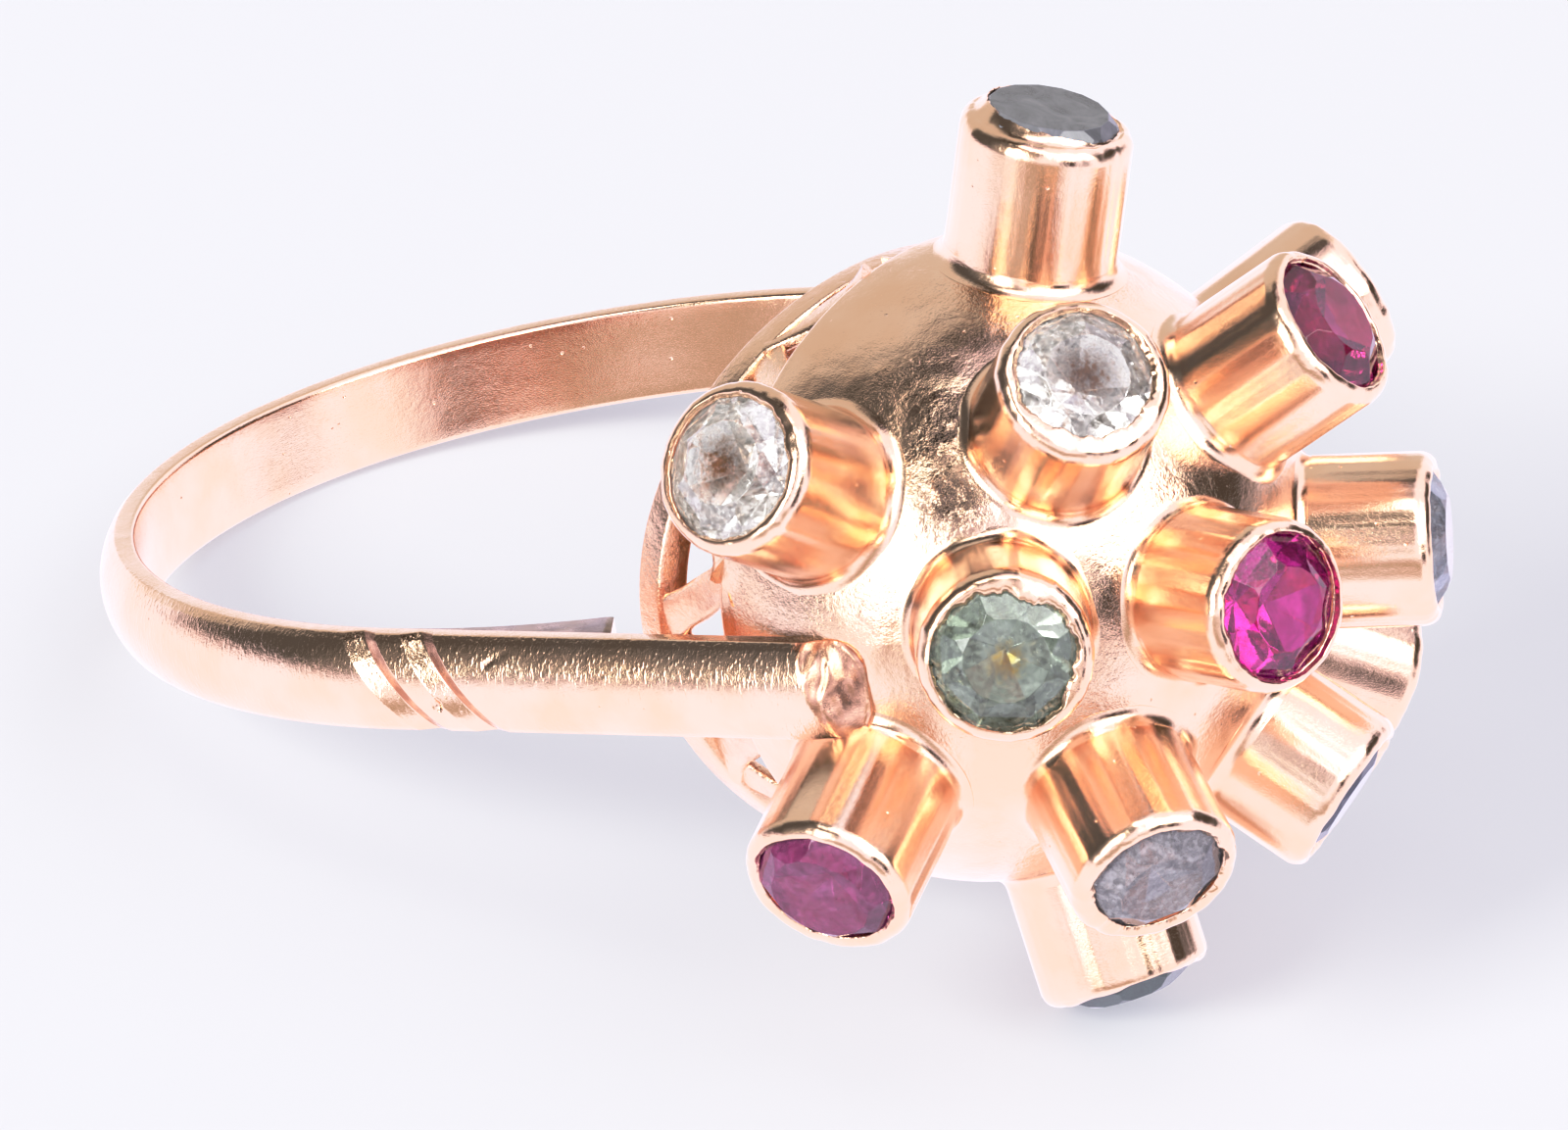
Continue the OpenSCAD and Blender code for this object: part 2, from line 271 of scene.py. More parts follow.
def gold_material(name, upright=0.0, tint=ROSE_GOLD, second=None, patch=0.7,
                  scratch=1.0, wave=1.0, grain=1.0, rough=0.0, shine=(0.03, 0.1), dark_patches=()):
    """Polished rose gold: fine scratches over a slightly uneven, hand finished surface.

    scratch, wave and grain multiply the usual heights of the marks. upright is the height in millimetres
    of file marks across the band, and rough that of orange peel in patches. dark_patches are (point, reach).
    """
    mat, tree, shader = new_material(name)
    tree.feed(shader["Metallic"], 1)
    place = ring_millimetres(tree)

    def noise_from(scale, detail, roughness=0.5, stretch=None):
        source = place
        if stretch is not None:
            turn, sizes = stretch
            source = tree.add("Mapping", Vector=place, Rotation=turn, Scale=sizes).outputs["Vector"]
        node = tree.add("TexNoise", Vector=source, Scale=scale, Detail=detail, Roughness=roughness)
        return node.outputs["Fac"]

    if second is None:
        second = (tint[0] * 0.97, tint[1] * 0.93, tint[2] * 0.88)
    colour = tree.blend(tree.spread(noise_from(patch, 3), 0.38, 0.62, 0, 1), tint, second)
    patch_mask = None
    for point, reach in dark_patches:
        off = tree.vector_math("DISTANCE", place, point, output="Value")
        near = tree.spread(off, reach, reach * 0.35, 0, 1)
        patch_mask = near if patch_mask is None else tree.math("MAXIMUM", patch_mask, near)
    if patch_mask is not None:
        speckle_mask = tree.spread(noise_from(3.2, 5, 0.7), 0.38, 0.5, 0, 0.9)
        colour = tree.blend(tree.math("MULTIPLY", patch_mask, speckle_mask), colour, DARK_PATCH_TINT)
    tree.feed(shader["Base Color"], colour)
    tree.feed(shader["Roughness"], tree.spread(noise_from(1.6, 2), 0.3, 0.75, *shine))

    hair_one = noise_from(1.0, 2, 0.6, ((0.3, 0.5, 0.2), (60, 3.5, 60)))
    hair_two = noise_from(1.0, 2, 0.6, ((1.1, -0.4, 0.9), (4, 52, 48)))
    pits = tree.add("TexVoronoi", Vector=place, Scale=2.2, Randomness=1).outputs["Distance"]
    bumps = [
        (hair_one, 0.0016 * scratch),
        (hair_two, 0.0014 * scratch),
        (tree.spread(pits, 0.03, 0.075, 0, 1), 0.006 * scratch),
        (noise_from(0.9, 2), 0.045 * wave),
        (noise_from(7.0, 4, 0.7), 0.0028 * grain),
    ]
    if rough:
        patches = tree.spread(noise_from(0.55, 2), 0.47, 0.56, 0, 1)
        bumps.append((tree.math("MULTIPLY", patches, noise_from(9.0, 3, 0.7)), rough))
    if patch_mask is not None:
        bumps.append((tree.math("MULTIPLY", patch_mask, noise_from(6.0, 3, 0.65)), 0.07))
    if upright:
        file_marks = noise_from(1.0, 1, 0.5, ((0.12, 0.1, 0), (15, 15, 4)))
        bumps.append((tree.spread(file_marks, 0.5, 0.72, 0, 1), upright))
    normal = None
    for source, height in bumps:
        normal = tree.bump(source, height, normal)
    tree.feed(shader["Normal"], normal)
    return mat


def stone_material(name, centre, axis, colour, second, transmission, roughness, cloud, ior=1.77,
                   heart=None, heart_r=0.0):
    """A cut stone with uneven colour, veils, small inclusions and, for some, a tinted heart."""
    mat, tree, shader = new_material(name)
    tree.feed(shader["IOR"], ior)
    tree.feed(shader["Roughness"], roughness)
    place = ring_millimetres(tree)
    veil = tree.add("TexNoise", Vector=place, Scale=1.3, Detail=4, Roughness=0.65, Distortion=1.2)
    specks = tree.add("TexNoise", Vector=place, Scale=9, Detail=2, Roughness=0.6).outputs["Fac"]
    tone = tree.blend(tree.spread(veil.outputs["Fac"], 0.35, 0.68, 0, 1), colour, second)
    if heart is not None:
        off = tree.vector_math("SUBTRACT", place, centre)
        from_axis = tree.vector_math("LENGTH", tree.vector_math("CROSS_PRODUCT", off, axis), output="Value")
        ragged = tree.math("MULTIPLY_ADD", specks, -2.2 * heart_r, from_axis)
        tone = tree.blend(tree.spread(ragged, -0.9 * heart_r, 0.2 * heart_r, 1, 0), tone, heart)
    tree.feed(shader["Base Color"], tone)
    clear = tree.spread(specks, 0.3, 0.72, transmission, transmission * (1 - cloud))
    tree.feed(shader["Transmission Weight"], clear)
    tree.feed(shader["Normal"], tree.bump(specks, 0.0012))
    return mat


GOLD_CAST = gold_material("rose_gold_cast", scratch=2.0, grain=5.0, rough=0.02, shine=(0.06, 0.16))
GOLD_BAND = gold_material("rose_gold_band", 0.003, scratch=1.2, wave=0.5, grain=2.2)
GOLD_COLLET = gold_material("rose_gold_collet", scratch=1.4, wave=0.3, grain=0.8, rough=0.003)
# painted shade: the dark tint of the finger walls' faces across the finger's axis
GOLD_PAINTED_SHADE = gold_material("rose_gold_painted_shade", tint=(0.3, 0.22, 0.18), second=(0.55, 0.42, 0.34), patch=1.5,
                          scratch=2.5, shine=(0.2, 0.35))
# painted shade on the notches' steep walls; the same darker, mottled tint also covers the hewn ends
GOLD_NOTCH_SHADE_AND_DARK_ENDS = gold_material("rose_gold_notch_shade_and_dark_ends", tint=(0.95, 0.62, 0.44), second=(0.55, 0.34, 0.24),
                             patch=3.2, scratch=2.0, shine=(0.06, 0.2))

# The shank: one loft along the arc and both straight shoulders

ARC_L = FINGER_R * (math.pi - SHOULDER_TURN)
SHANK_END = ARC_L + SHOULDER_L
CROWN_R = (BAND_W**2 / 4 + CROWN_RISE**2) / (2 * CROWN_RISE)
CROWN_Y = FINGER_R + EDGE_T + CROWN_RISE - CROWN_R


def band_point(s, y, z):
    """A point at length s from the shank's back, y out from the finger's axis, z above the band's middle."""
    side = 1 if s >= 0 else -1
    q = abs(s)
    turn = math.pi - min(q, ARC_L) / FINGER_R
    out = Vector((math.cos(turn), math.sin(turn), 0))
    along = Vector((math.sin(turn), -math.cos(turn), 0))
    p = out * y + along * max(0, q - ARC_L)
    return Vector((p.x, side * p.y, z - BAND_DROP))


def notch_cut(q):
    """Depth of the notches: a long slope in, and a steeper wall out."""
    depth = 0
    for place in NOTCH_PLACES:
        x = q - (ARC_L + place)
        depth = max(depth, NOTCH_DEPTH + min(NOTCH_SLOPE_IN * x, -NOTCH_SLOPE_OUT * x))
    return depth


# the near shoulder's gouge and pit: length past the arc's end, and height above the band's middle
GOUGE_FROM, GOUGE_TO = Vector((2.0, 0.42)), Vector((2.34, 0.64))
GOUGE_DEPTH, GOUGE_HALF_W = 0.03, 0.05
PIT_L, PIT_Z = 0.98, -0.3
PIT_DEPTH, PIT_R = 0.12, 0.1


def nicks(s, z):
    """Depth of the near shoulder's gouge and pit."""
    q = -s - ARC_L
    along = GOUGE_TO - GOUGE_FROM
    off = Vector((q, z)) - GOUGE_FROM
    t = min(1, max(0, off.dot(along) / along.length_squared))
    gouge = GOUGE_DEPTH * max(0, 1 - (off - along * t).length / GOUGE_HALF_W)
    pit = PIT_DEPTH * max(0, 1 - math.hypot(q - PIT_L, 0.7 * (z - PIT_Z)) / PIT_R)
    return max(gouge, pit)


def notch_shear(q):
    """How far a section leans along the shank, for each millimetre of height, to slant the notches."""
    reach = ease(q, ARC_L - 3.6, ARC_L - 0.9) * (1 - ease(q, ARC_L + 2.2, ARC_L + 5.2))
    return -math.tan(NOTCH_LEAN) * reach


# how much sooner the hewn end starts on the upper side, for each millimetre of height
HEWN_SLANT = 0.3


def filed(t, reach):
    """How much of the half width is left at t from the tip, along a rounded outline."""
    gone = max(0, 1 - t / reach)
    return max(0.3, (1 - gone**4) ** (1 / 4))


def bevel_drop(t, z):
    """How far the tip's slanted bevel has fallen at t from the tip; it starts sooner on the upper side."""
    reach = 0.78 + 0.3 * z / (BAND_W / 2)
    return BEVEL_DROP * max(0, 1 - t / reach) ** 1.3


def band_section(q):
    """The section's points (y, z) at length q, filed down towards the shoulder's tip."""
    half = BAND_W / 2
    to_tip = SHANK_END - q
    top = half * filed(to_tip, 1.0)
    bottom = half * filed(to_tip, 0.62)
    corner_in, corner_out = 0.1, 0.07
    lowest = FINGER_R + 0.14
    points = []
    steps_in, steps_out = 8, 40
    for i in range(steps_in + 1):
        z = -(bottom - corner_in) + (top + bottom - 2 * corner_in) * i / steps_in
        points.append((FINGER_R, z))
    points += arc((FINGER_R + corner_in, top - corner_in), corner_in, 165, 90, 6)

    def crown(z):
        return max(lowest, CROWN_Y + math.sqrt(CROWN_R**2 - z * z) - bevel_drop(to_tip, z))

    z_top = top - corner_out
    y_top = max(lowest, crown(top) - corner_out * 0.6)
    points.append((y_top - 0.03, top))
    points += [(y_top + corner_out * 0.6 * math.sin(a), z_top + corner_out * math.cos(a))
               for a in (0.0, 0.35, 0.7)]
    for i in range(steps_out + 1):
        z = z_top - 0.02 - (z_top + bottom - corner_out - 0.04) * i / steps_out
        points.append((crown(z), z))
    z_bottom = -(bottom - corner_out)
    y_bottom = max(lowest, crown(-bottom) - corner_out * 0.6)
    points += [(y_bottom + corner_out * 0.6 * math.sin(a), z_bottom - corner_out * math.cos(a))
               for a in (0.7, 0.35, 0.0)]
    points.append((y_bottom - 0.03, -bottom))
    points += arc((FINGER_R + corner_in, -(bottom - corner_in)), corner_in, 270, 195, 6)
    return points


def shank_stations():
    """Lengths along one half of the shank, dense over the notches and at the tip."""
    places = [ARC_L * i / 150 for i in range(150) if ARC_L * i / 150 < ARC_L - 0.75]
    q = ARC_L - 0.75
    while q < ARC_L + 2.5:
        places.append(q)
        q += 0.02
    while q < SHANK_END - 1.5:
        places.append(q)
        q += 0.12
    while q < SHANK_END - 0.03:
        places.append(q)
        q += 0.04
    return places


def make_shank():
    """The band as one loft from tip to tip, with its notches, nicks and hewn ends."""
    half = shank_stations()
    stations = [-q for q in reversed(half[1:])] + half
    points = []
    for s in stations:
        q = abs(s)
        section = band_section(q)
        shear = notch_shear(q)
        cut = notch_cut(q)
        worn = 0.012 * wobble(s * 0.5, 0, 3.3)
        for y, z in section:
            outside = ease(y, FINGER_R + 0.12, FINGER_R + EDGE_T)
            hewn = ease(q, SHANK_END - 0.88 - HEWN_SLANT * z, SHANK_END - 0.7 - HEWN_SLANT * z)
            rough = hewn * (0.16 * abs(wobble(s * 2.6, z * 1.1, 8.1)) + 0.04 * wobble(s * 5, z * 3, 2.2))
            moved = q + shear * z
            depth = (cut - worn + rough + nicks(math.copysign(moved, s), z)) * outside
            points.append(band_point(math.copysign(moved, s) if s else 0.0, y - depth, z + 0.4 * worn))
    outline = band_section(0)
    columns = len(outline)
    rows = len(stations)
    faces = grid(rows, columns, close_columns=True)
    for row in (0, rows - 1):
        ring = points[row * columns:(row + 1) * columns]
        middle = sum(ring, Vector()) / columns
        sign = 1 if row else -1
        first = len(points)
        for share, out in ((0.12, 0.04), (0.35, 0.06)):
            step = band_point(sign * (SHANK_END + out), 0, 0) - band_point(sign * SHANK_END, 0, 0)
            points += [p.lerp(middle, share) + step for p in ring]
        last = len(points)
        points.append(middle + step)
        for j in range(columns):
            n = (j + 1) % columns
            a, b = row * columns, first
            faces.append((a + j, a + n, b + n, b + j))
            faces.append((b + j, b + n, b + columns + n, b + columns + j))
            faces.append((b + columns + j, b + columns + n, last))
    shank = piece("shank", points, faces, GOLD_BAND, sharp=32)
    shank.data.materials.append(GOLD_NOTCH_SHADE_AND_DARK_ENDS)
    shank.data.materials.append(GOLD_COLLET)
    # the notches' steep walls and the hewn ends take the darker tint, which in the notches is painted shade;
    # the finger side takes the collet gold
    for i in range(rows - 1):
        q = abs(stations[i] + stations[i + 1]) / 2
        walls = [q - ARC_L - place for place in NOTCH_PLACES]
        in_notch = any(0 < x < NOTCH_DEPTH / NOTCH_SLOPE_OUT - 0.02 for x in walls)
        for j, (y, z) in enumerate(outline):
            if y > FINGER_R + 0.2 and (in_notch or q > SHANK_END - 0.84 - HEWN_SLANT * z):
                shank.data.polygons[i * columns + j].material_index = 1
            elif y < FINGER_R + 0.12:
                shank.data.polygons[i * columns + j].material_index = 2
    for face in shank.data.polygons[(rows - 1) * columns:]:
        face.material_index = 1
    return shank


def make_finger_wall(side):
    """The wedge between the finger hole and the straight shoulder, which ends in a step."""
    lap = EDGE_T / 2
    half = BAND_W / 2 - 0.01
    edge = 0.05
    rows = 60
    points = []
    for i in range(rows + 1):
        turn = SHOULDER_TURN + 0.01 - (SHOULDER_TURN - STEP_TURN) * i / rows
        r_in = FINGER_R
        r_out = (FINGER_R + lap) / math.cos(SHOULDER_TURN - turn)
        end = edge * ease(i, rows - 1.5, rows)
        section = [
            (r_in + end, -half + edge),
            (r_in + end, half - edge),
            (r_in + edge * 0.3 + end, half - edge * 0.3),
            (r_in + edge + end, half - end * 0.5),
            (r_out - edge - end, half - end * 0.5),
            (r_out - end, half - edge),
            (r_out - end, -half + edge),
            (r_out - edge - end, -half + end * 0.5),
            (r_in + edge + end, -half + end * 0.5),
            (r_in + edge * 0.3 + end, -half + edge * 0.3),
        ]
        c, s = math.cos(turn), side * math.sin(turn)
        points += [Vector((r * c, r * s, z - BAND_DROP)) for r, z in section]
    columns = len(section)
    faces = grid(rows + 1, columns, close_columns=True) + end_caps(rows + 1, columns)
    name = "finger_wall_near" if side < 0 else "finger_wall_far"
    wall = piece(name, points, faces, GOLD_COLLET, sharp=35)
    wall.data.materials.append(GOLD_PAINTED_SHADE)
    # faces across the finger's axis take the dark tint: painted shade
    finger_axis = RING.to_3x3() @ Vector((0, 0, 1))
    for face in wall.data.polygons:
        if abs(face.normal.dot(finger_axis)) > 0.8:
            face.material_index = 1
    return wall


# The domed head


def toward(lean, turn):
    """Turns a shape drawn along +Z from the dome's centre into a stone's direction."""
    return (
        Matrix.Translation((DOME_X, 0, 0))
        @ Matrix.Rotation(math.radians(turn), 4, "X")
        @ Matrix.Rotation(math.radians(90 - lean), 4, "Y")
    )


def lathe(profile, segments, place, change=None):
    """Points of a profile (r, z) turned about Z; change may move each (r, z) at its angle."""
    points = []
    for k, (r, z) in enumerate(profile):
        for j in range(segments):
            a = TAU * j / segments
            rr, zz = (r, z) if change is None else change(k, r, z, a)
            points.append(place @ Vector((rr * math.cos(a), rr * math.sin(a), zz)))
    return points


def dome_profile():
    """The shell's section (r, z), from its top down the outside and back up the inside."""
    rim = -DOME_SKIRT
    outer_end = math.degrees(math.asin(rim / DOME_R))
    inner_r = DOME_R - DOME_T
    inner_end = math.degrees(math.asin(rim / inner_r))
    outer = [(DOME_R * math.cos(math.radians(a)), DOME_R * math.sin(math.radians(a)))
             for a in [89.6 - (89.6 - outer_end - 0.6) * i / 170 for i in range(171)]]
    inner = [(inner_r * math.cos(math.radians(a)), inner_r * math.sin(math.radians(a)))
             for a in [inner_end + 0.6 + (89.0 - inner_end - 0.6) * i / 80 for i in range(81)]]
    edge = [(DOME_R - 0.05, rim), (inner_r + 0.05, rim)]
    return outer + edge + inner


# the bores cut through the dome: sides, and reach from the dome's centre
DRILL_SIDES = 64
DRILL_FROM, DRILL_TO = 3.6, 7
# rough patches between the collets: lean and turn as the stones have them, reach and depth
DENTS = [
    (51, 50, 0.8, 0.035),
    (51, 65, 0.5, 0.03),
    (35, 68, 0.45, 0.02),
    (65, 68, 0.5, 0.025),
    (20, 62, 0.5, 0.012),
]
# darker, speckled and bumpier patches on the dome between the collets: lean, turn and reach
DARK_PATCHES = [(54, 40, 0.95), (50, 53, 0.85)]


def make_dome():
    """The hollow head: hammered, with darker speckled patches between the collets, and cut open by their
    bores.
    """
    place = Matrix.Translation((DOME_X, 0, 0)) @ Matrix.Rotation(math.radians(90), 4, "Y")
    centre = Vector((DOME_X, 0, 0))
    dents = [(toward(lean, turn) @ Vector((0, 0, DOME_R)) - centre, reach, depth)
             for lean, turn, reach, depth in DENTS]
    profile = dome_profile()
    segments = 300
    points = lathe(profile, segments, place)
    for i, p in enumerate(points):
        off = p - centre
        if off.length < DOME_R - 0.05:
            continue
        rise = 0.022 * wobble(*(off * 0.55), 3) + 0.006 * wobble(*(off * 1.6), 4)
        for at, reach, depth in dents:
            near = math.exp(-((off - at).length / reach) ** 2)
            if near > 0.02:
                rise += near * depth * (wobble(*(off * 2.4), 5) + 0.3 * wobble(*(off * 6), 6))
        points[i] = p + off.normalized() * rise
    faces = grid(len(profile), segments, close_columns=True) + end_caps(len(profile), segments)
    dark_patches = [(toward(lean, turn) @ Vector((0, 0, DOME_R)), reach) for lean, turn, reach in DARK_PATCHES]
    gold = gold_material("rose_gold_dome", scratch=1.4, grain=2.6, rough=0.018, dark_patches=dark_patches)
    dome = piece("head_dome", points, faces, gold, sharp=30)
    cutters = []
    for _, lean, turn, _, _ in STONES:
        side = [(COLLET_BORE_R, DRILL_FROM), (COLLET_BORE_R, DRILL_TO)]
        drill = lathe(side, DRILL_SIDES, toward(lean, turn))
        walls = grid(2, DRILL_SIDES, close_columns=True)
        mesh = closed_mesh("drill", drill, walls + end_caps(2, DRILL_SIDES))
        cutter = bpy.data.objects.new("drill", mesh)
        scene.collection.objects.link(cutter)
        cutters.append(cutter)
    for cutter in cutters:
        cut = dome.modifiers.new("bore", "BOOLEAN")
        cut.operation = "DIFFERENCE"
        cut.solver = "EXACT"
        cut.object = cutter
    bpy.context.view_layer.update()
    cut_mesh = bpy.data.meshes.new_from_object(dome.evaluated_get(bpy.context.evaluated_depsgraph_get()))
    dome.modifiers.clear()
    dome.data = cut_mesh
    for cutter in cutters:
        bpy.data.objects.remove(cutter)
    return dome


# Collets and their stones

# an octagonal table's flat sides, as a share of its corners' reach
OCTAGON_FLAT = math.cos(math.pi / 8)
# how far a stone's lip is pushed to one side, as (turn in radians, shift), and how ragged its edge is
LIP_SHIFT = {
    "centre": (-1.6, 0.06),
    "inner_1": (-0.64, 0.09),
    "inner_2": (0.9, 0.1),
    "inner_3": (2.4, 0.04),
    "outer_1": (-2.19, 0.08),
    "outer_2": (0.2, 0.08),
    "outer_3": (-2.4, 0.07),
}
LIP_RAGGED = {"centre": 1.4, "inner_1": 1.3, "inner_2": 2.3, "inner_3": 1.8, "outer_1": 0.9, "outer_2": 1.1}
# gaps worn into the bezel: turn about the stone and half width, both in radians, and depth
LIP_GAP = {"outer_4": ((0.35, 0.55, 0.15), (1.2, 0.3, 0.07), (-0.5, 0.3, 0.06))}
# how far a bezel's crest lies under its rim
CREST_DROP = {"outer_1": 0.04, "outer_4": 0.05}
# a lip that leaves more of its stone in sight, and a stone with a wide table
LIP_OF = {"centre": 1.24, "outer_2": 1.22, "inner_6": 1.22, "inner_2": 1.2, "outer_3": 1.19}
TABLE_OF = {"outer_1": 1.1, "outer_3": 0.95}
# a bezel and stone that sit askew: the higher side's turn in radians, and its rise at the bezel's edge
ASKEW = {"outer_1": (-2.3, 0.06)}


def askew(name):
    """The small tilt of a stone and its bezel, as the rise for each millimetre in x and y."""
    turn, rise = ASKEW.get(name, (0, 0))
    return rise / COLLET_R * math.cos(turn), rise / COLLET_R * math.sin(turn)


def make_collet(index, name, lean, turn, rim, crown):
    """A tube with its rubbed-over bezel, its seat inside, and a solder fillet down to the dome."""
    chance = random.Random(100 + index)
    seed = chance.uniform(0, 50)
    fillet = 0.24 + 0.1 * chance.random()
    foot_z = math.sqrt((DOME_R + fillet) ** 2 - (COLLET_R + fillet) ** 2)
    foot_turn = math.degrees(math.atan2(foot_z, COLLET_R + fillet))
    slope = crown / (STONE_R - TABLE_OF.get(name, TABLE_R) * OCTAGON_FLAT)
    lip_r = LIP_OF.get(name, LIP_R)
    tilt_x, tilt_y = askew(name)
    shift_turn, shift = LIP_SHIFT.get(name, (0, 0))
    ragged = LIP_RAGGED.get(name, 1)
    round_w, round_h = min(BEZEL_ROUND_W, COLLET_R - lip_r - 0.04), BEZEL_ROUND_H
    top = rim - CREST_DROP.get(name, 0)

    def on_stone(r):
        return rim - GIRDLE_DEPTH + (STONE_R - r) * slope + LIP_LIFT

    seat_r = STONE_R + SEAT_PLAY
    profile = [
        (COLLET_BORE_R - 0.005, DOME_R - DOME_T - 0.12),
        (COLLET_BORE_R - 0.005, rim - BORE_TOP_DEPTH),
        (COLLET_BORE_R, rim - SEAT_DEPTH),
        (seat_r, rim - GIRDLE_DEPTH - GIRDLE_T - 0.03),
        (seat_r, rim - GIRDLE_DEPTH + 0.02),
    ]
    lip_first = len(profile)
    lip_z = on_stone(lip_r)
    lip_top_r, lip_top_z = lip_r + 0.022, lip_z + 0.034
    profile += [
        (lip_r + 0.03, on_stone(lip_r + 0.03)),
        (lip_r + 0.012, lip_z),
        (lip_r, lip_z + 0.012),
        (lip_r + 0.006, lip_z + 0.026),
        (lip_top_r, lip_top_z),
    ]
    crest = COLLET_R - round_w
    lip_last = len(profile)
    for i in range(1, 6):
        t = i / 6
        rise = (top - 0.004 - lip_top_z) * math.sin(t * math.pi / 2) ** 0.9
        profile.append((lip_top_r + (crest + 0.02 - lip_top_r) * t, lip_top_z + rise))
    crest_first = len(profile)
    for i in range(14):
        a = math.radians(84 - 84 * i / 13)
        profile.append((crest + round_w * math.cos(a), top - round_h + round_h * math.sin(a)))
    for i in range(1, 10):
        z = top - round_h - (top - round_h - foot_z - 0.02) * i / 9
        profile.append((COLLET_R, z))
    profile += arc((COLLET_R + fillet, foot_z), fillet, 180, 180 + foot_turn, 12)
    end_r, end_z = profile[-1]
    profile += [(end_r * 0.985, end_z * 0.975)]

    def change(k, r, z, a):
        c, s = math.cos(a), math.sin(a)
        if lip_first <= k < crest_first:
            share = 1 if k < lip_last else (crest_first - k) / (crest_first - lip_last + 1)
            edge = 0.035 * wobble(c * 1.2, s * 1.2, 0, seed) + 0.035 * wobble(c * 3.6, s * 3.6, 1, seed)
            edge += 0.016 * wobble(c * 9, s * 9, 2, seed) + 0.016 * wobble(c * 19, s * 19, 2, seed)
            moved = share * (ragged * edge + shift * math.cos(a - shift_turn))
            r = r - moved
            z = z + moved * slope
        if k >= lip_first and z > rim - 0.6:
            worn = 0.016 * wobble(c * 1.4, s * 1.4, 3, seed) + 0.024 * wobble(c * 5, s * 5, 4, seed)
            z += worn * ease(z, rim - 0.35, rim - 0.1)
            for gap_turn, half, depth in LIP_GAP.get(name, ()):
                off = math.remainder(a - gap_turn, TAU) / half
                low = rim - GIRDLE_DEPTH + 0.03
                z -= max(0, min(z - low, depth * math.exp(-off * off)))
        if k >= crest_first:
            flute = 0.024 * wobble(c * 2.6, s * 2.6, 5, seed) + 0.013 * wobble(c * 7, s * 7, 6, seed)
            flute += 0.004 * wobble(c * 16, s * 16, 8, seed)
            r += flute * ease(z, foot_z, foot_z + 0.4)
        if k > 1:
            z += r * (c * tilt_x + s * tilt_y) * ease(z, rim - 0.9, rim - 0.2)
        if z < foot_z and k > crest_first:
            r += 0.035 * wobble(c * 2.5, s * 2.5, 7, seed)
        return r, z

    segments = 200
    points = lathe(profile, segments, toward(lean, turn), change)
    faces = grid(len(profile), segments, close_columns=True)
    return piece("collet_" + name, points, faces, GOLD_COLLET, sharp=60)


def cut_facets(bm, planes):
    """Cuts a solid by planes given as (point, outward normal)."""
    for point, normal in planes:
        cut = bmesh.ops.bisect_plane(
            bm, geom=bm.verts[:] + bm.edges[:] + bm.faces[:], plane_co=point, plane_no=normal,
            clear_outer=True, dist=1e-5,
        )
        edges = [e for e in cut["geom_cut"] if isinstance(e, bmesh.types.BMEdge)]
        if edges:
            bmesh.ops.contextual_create(bm, geom=edges)


def facet_plane(r, z, slope, turn):
    """A facet through (r, z), tilted so that it falls by slope per unit outwards."""
    out = Vector((math.cos(turn), math.sin(turn), 0))
    return out * r + Vector((0, 0, z)), (out * slope + Vector((0, 0, 1))).normalized()


def lower_facet(slope, turn):
    """A facet of the pavilion: one of the crown's, mirrored to the girdle's lower edge."""
    point, normal = facet_plane(STONE_R, GIRDLE_T, slope, turn)
    return Vector((point.x, point.y, -point.z)), Vector((normal.x, normal.y, -normal.z))


def make_stone(index, name, lean, turn, rim, crown, material):
    """A round brilliant: table, star, main and girdle facets above, main and girdle facets below."""
    chance = random.Random(300 + index)
    spin = chance.uniform(0, TAU / 8)
    table_r = TABLE_OF.get(name, TABLE_R)
    main = crown / (STONE_R - table_r * OCTAGON_FLAT)
    bm = bmesh.new()
    bmesh.ops.create_cone(bm, cap_ends=True, segments=64, radius1=STONE_R, radius2=STONE_R, depth=3)
    planes = [(Vector((0, 0, crown)), Vector((0, 0, 1)))]
    for i in range(8):
        a = spin + TAU * i / 8 + chance.uniform(-0.03, 0.03)
        jitter = chance.uniform(0.96, 1.04)
        planes.append(facet_plane(STONE_R, 0, main * jitter, a))
        b = a + TAU / 16
        planes.append(facet_plane(table_r * OCTAGON_FLAT, crown, main * 0.62, b))
        for side in (-1, 1):
            planes.append(facet_plane(STONE_R, 0.0, main * 1.35, a + side * TAU / 32))
    for i in range(8):
        a = spin + TAU * i / 8 + chance.uniform(-0.03, 0.03)
        deep = PAVILION_H / STONE_R * chance.uniform(0.98, 1.02)
        planes.append(lower_facet(deep, a))
        for side in (-1, 1):
            planes.append(lower_facet(deep * 1.12, a + side * TAU / 32))
    cut_facets(bm, planes)
    bmesh.ops.remove_doubles(bm, verts=bm.verts, dist=0.004)
    bmesh.ops.dissolve_degenerate(bm, dist=0.002, edges=bm.edges)
    bmesh.ops.bevel(bm, geom=bm.edges[:], offset=0.007, segments=1, profile=0.5, affect="EDGES")
    bmesh.ops.recalc_face_normals(bm, faces=bm.faces)
    place = toward(lean, turn) @ Matrix.Translation((0, 0, rim - GIRDLE_DEPTH))
    bm.verts.ensure_lookup_table()
    tilt_x, tilt_y = askew(name)
    points = [place @ (v.co + Vector((0, 0, v.co.x * tilt_x + v.co.y * tilt_y))) for v in bm.verts]
    faces = [[v.index for v in f.verts] for f in bm.faces]
    bm.free()
    stone = piece("cut_" + name, points, faces, material)
    stone.data.polygons.foreach_set("use_smooth", [False] * len(stone.data.polygons))
    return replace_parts(stone, "stone_" + name)


# The gallery under the head


def strip_x(y):
    """Where the strip's finger side lies at y across the ring."""
    return GALLERY_X - STRIP_CURVE_R + math.sqrt(STRIP_CURVE_R**2 - y * y)


